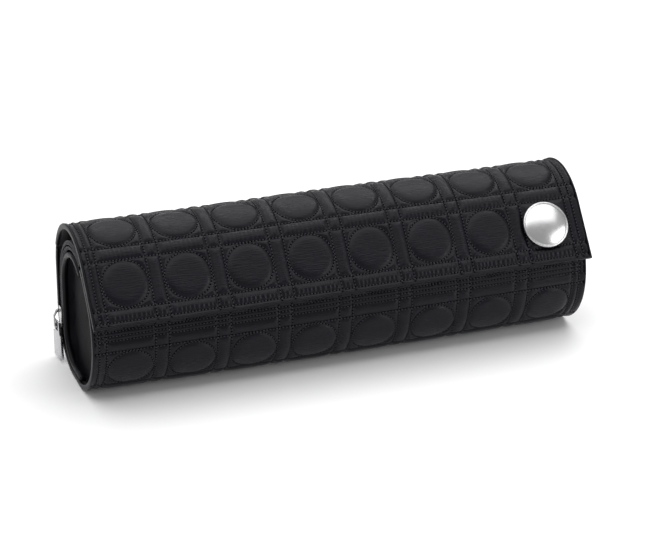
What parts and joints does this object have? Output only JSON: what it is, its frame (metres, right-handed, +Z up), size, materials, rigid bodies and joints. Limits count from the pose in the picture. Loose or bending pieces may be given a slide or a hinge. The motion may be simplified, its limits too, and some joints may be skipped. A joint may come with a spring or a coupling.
{
  "type": "quilted roll case",
  "caption": "Padded satin roll case for a hair styler, with a flap held by a hidden magnet under a domed button and a zipped pouch.",
  "frame": {"origin": "on the floor below the middle of the roll, on the flat that the case rests on", "axes": "+Z up, +X along the length with the zip pull at -X, -Y towards the flap's free edge and the button"},
  "size_m": [0.3435, 0.0989, 0.1075],
  "materials": {
    "satin": "quilted black satin",
    "satin_plain": "plain black satin",
    "wadding": "polyester wadding",
    "foam": "foam sheet",
    "lining": "heat-proof woven lining",
    "board": "flexible stiffener",
    "zip_tape": "woven tape",
    "zip_coil": "nylon coil",
    "zip_metal": "nickel-plated zinc",
    "button_metal": "satin chrome",
    "steel": "plain steel"
  },
  "bodies": {
    "tray": {"front_panel_face": "satin", "front_panel_wadding": "wadding", "front_panel_lining": "lining", "base_board": "board", "end_cap_left": "satin_plain", "end_cap_right": "satin_plain", "end_foam_left": "foam", "end_foam_right": "foam", "piping_left": "satin_plain", "piping_right": "satin_plain", "zip_tape_tray": "zip_tape", "zip_coil_tray": "zip_coil", "zip_stop_left": "zip_metal", "zip_stop_right": "zip_metal", "snap_plate": "steel"},
    "lid": {"back_panel_face": "satin", "back_panel_wadding": "wadding", "back_panel_lining": "lining", "pouch_top": "satin_plain", "zip_tape_lid": "zip_tape", "zip_coil_lid": "zip_coil"},
    "flap": {"flap_face": "satin", "flap_wadding": "wadding", "flap_lining": "lining", "flap_binding_left": "satin_plain", "flap_binding_right": "satin_plain", "flap_hem": "satin_plain", "snap_magnet": "steel", "button_dome": "button_metal", "button_rim": "button_metal", "button_rivet": "steel", "button_washer": "steel"},
    "slider": {"slider_body": "zip_metal", "slider_bridge": "zip_metal"},
    "pull": {"pull_tab": "zip_metal"}
  },
  "joints": [
    {"name": "lid_open", "type": "hinge", "parent": "tray", "child": "lid", "pos_m": [0, 0.03692, 0.01238], "axis": [-1, 0, 0], "range_deg": [0, 75]},
    {"name": "flap_lift", "type": "hinge", "parent": "lid", "child": "flap", "pos_m": [0, 0.03359, 0.09534], "axis": [-1, 0, 0], "range_deg": [0, 110]},
    {"name": "zip_slide", "type": "slide", "parent": "tray", "child": "slider", "axis": [0, 0, 1], "range_m": [0, 0.018]},
    {"name": "pull_swing", "type": "hinge", "parent": "slider", "child": "pull", "pos_m": [-0.1716, 0.0368, 0.0274], "axis": [-0.1219, 0.9925, 0], "range_deg": [0, 140]}
  ]
}
